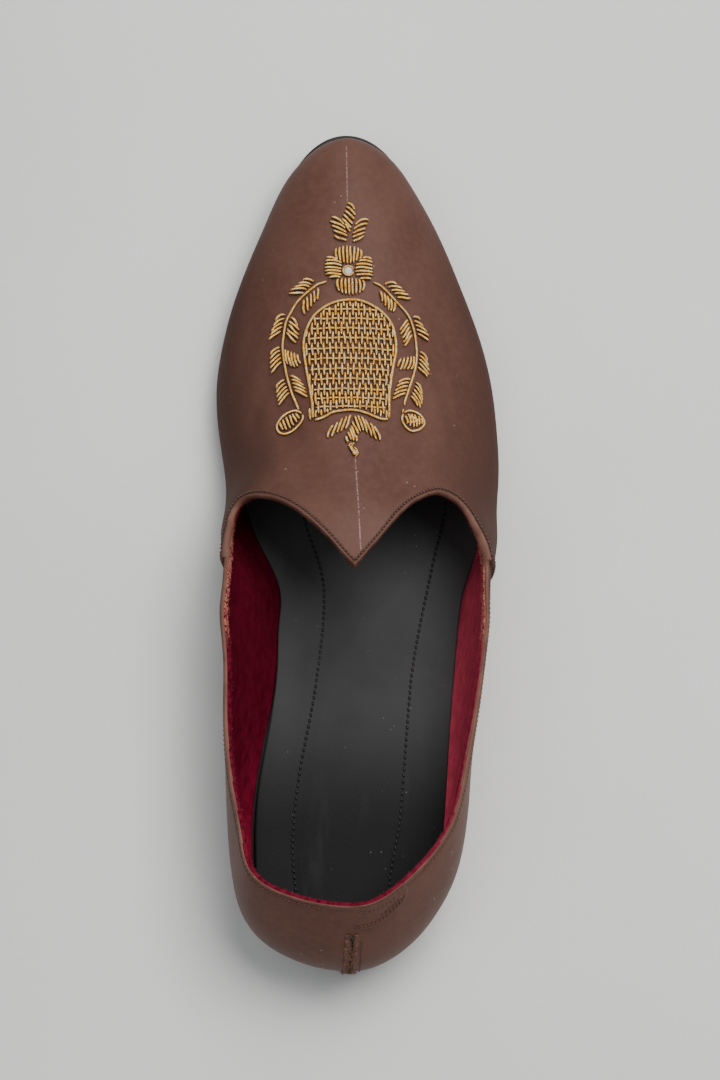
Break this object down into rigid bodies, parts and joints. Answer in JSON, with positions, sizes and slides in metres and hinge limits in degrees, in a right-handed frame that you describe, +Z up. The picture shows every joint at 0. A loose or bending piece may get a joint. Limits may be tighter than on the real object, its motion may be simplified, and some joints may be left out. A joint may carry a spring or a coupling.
{
  "type": "mojari shoe",
  "caption": "Right-foot slip-on leather mojari with a heart-shaped throat, low stacked heel, padded insole and metallic thread embroidery on the vamp.",
  "frame": {"origin": "bottom centre of the shoe's bounding box, on the floor that it stands on", "axes": "+Y towards the toe, +X towards the outer side of the right foot, +Z up"},
  "size_m": [0.0972, 0.293, 0.0647],
  "materials": {
    "sole_leather": "black dyed sole leather, satin edge",
    "heel_stack": "dark stacked leather lifts, lightly burnished",
    "insole_pad": "charcoal matte padded lining leather with black stitch rows",
    "upper_leather": "smooth warm brown leather, soft satin shine",
    "metal_thread": "coiled gilt metal thread, lightly tarnished",
    "crystal": "clear faceted glass crystal"
  },
  "bodies": {
    "root": {"outsole": "sole_leather", "heel": "heel_stack", "insole": "insole_pad", "upper": "upper_leather", "heel_tab": "upper_leather", "back_seam_strip": "upper_leather", "embroidery_panel": "metal_thread", "embroidery_flower": "metal_thread", "toe_sprig": "metal_thread", "throat_sprig": "metal_thread", "vine_inner": "metal_thread", "vine_outer": "metal_thread", "flower_crystal": "crystal"}
  },
  "joints": []
}
